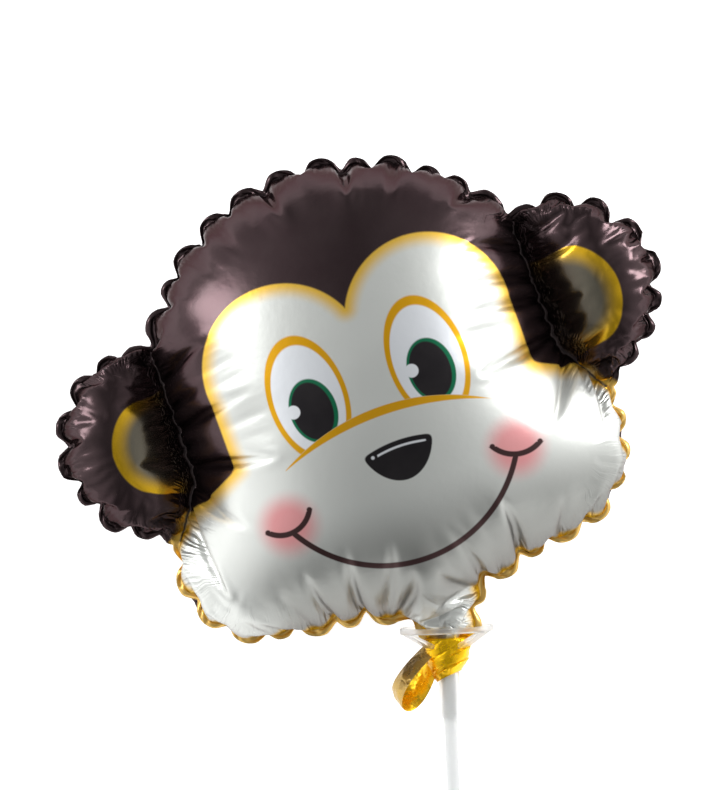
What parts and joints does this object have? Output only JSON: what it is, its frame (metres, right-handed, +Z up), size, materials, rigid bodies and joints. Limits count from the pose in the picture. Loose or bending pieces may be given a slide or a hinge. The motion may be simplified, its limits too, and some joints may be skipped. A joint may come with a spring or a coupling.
{
  "type": "foil monkey head balloon",
  "caption": "Pillow-shaped foil balloon of a cartoon monkey head with two ears, its neck wound into a plastic cup on a thin stick, lying on its back.",
  "frame": {"origin": "on the table, under the middle of the bounding box", "axes": "+Y along the stick towards the head, +Z up out of the face, +X to the viewer's right with the face seen from above"},
  "size_m": [0.2794, 0.5312, 0.1128],
  "materials": {
    "foil": "satin printed metallised film: dark brown crown, ears and back, pearl white face with a yellow edge, gold chin rim and tail",
    "cup_plastic": "translucent milky moulded plastic",
    "stick_plastic": "translucent milky drawn plastic tube"
  },
  "bodies": {
    "root": {"foil_balloon": "foil", "balloon_cup": "cup_plastic", "stick": "stick_plastic"}
  },
  "joints": []
}
